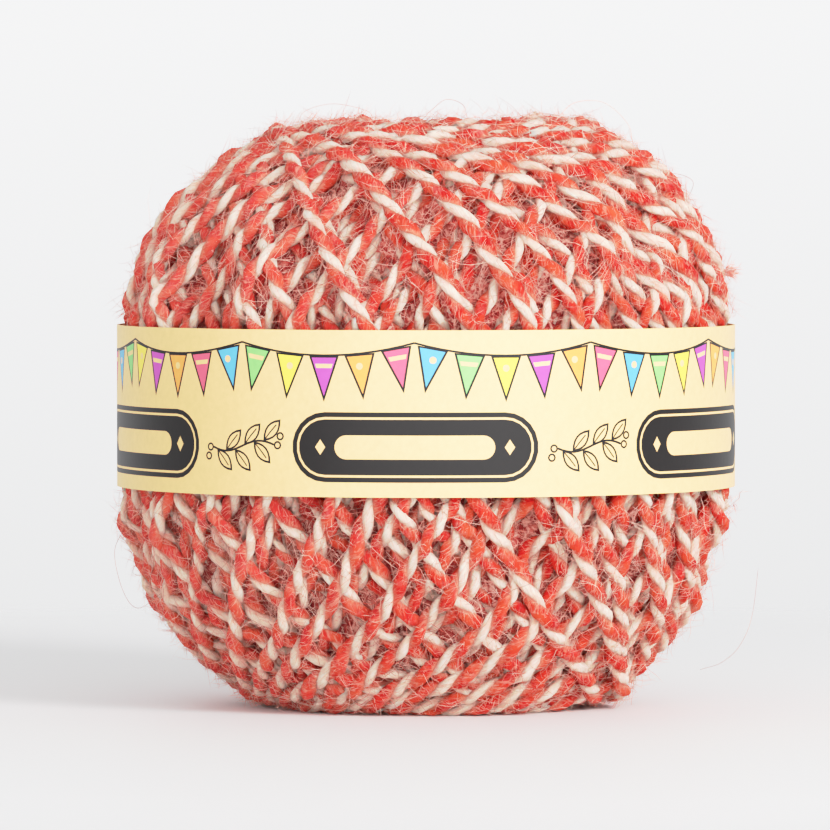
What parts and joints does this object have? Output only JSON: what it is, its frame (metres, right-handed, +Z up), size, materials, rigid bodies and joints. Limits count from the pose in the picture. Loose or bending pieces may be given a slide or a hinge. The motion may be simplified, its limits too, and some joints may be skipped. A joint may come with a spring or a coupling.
{
  "type": "ball of twine",
  "caption": "Cross-wound ball of thick red and cream twisted twine, flattened at top and foot, with a printed paper band round its waist.",
  "frame": {"origin": "middle of the foot, on the surface the ball stands on, on the axis of the paper band", "axes": "+Z up along the winding axis, -Y towards the front of the printed band, +X to the right seen from the front"},
  "size_m": [0.1066, 0.1066, 0.1013],
  "materials": {
    "twine": "rough hairy jute, one red ply and one cream ply",
    "paper": "smooth cream paper with a faint sheen, printed"
  },
  "bodies": {
    "root": {"twine_ball": "twine", "paper_band": "paper"}
  },
  "joints": []
}
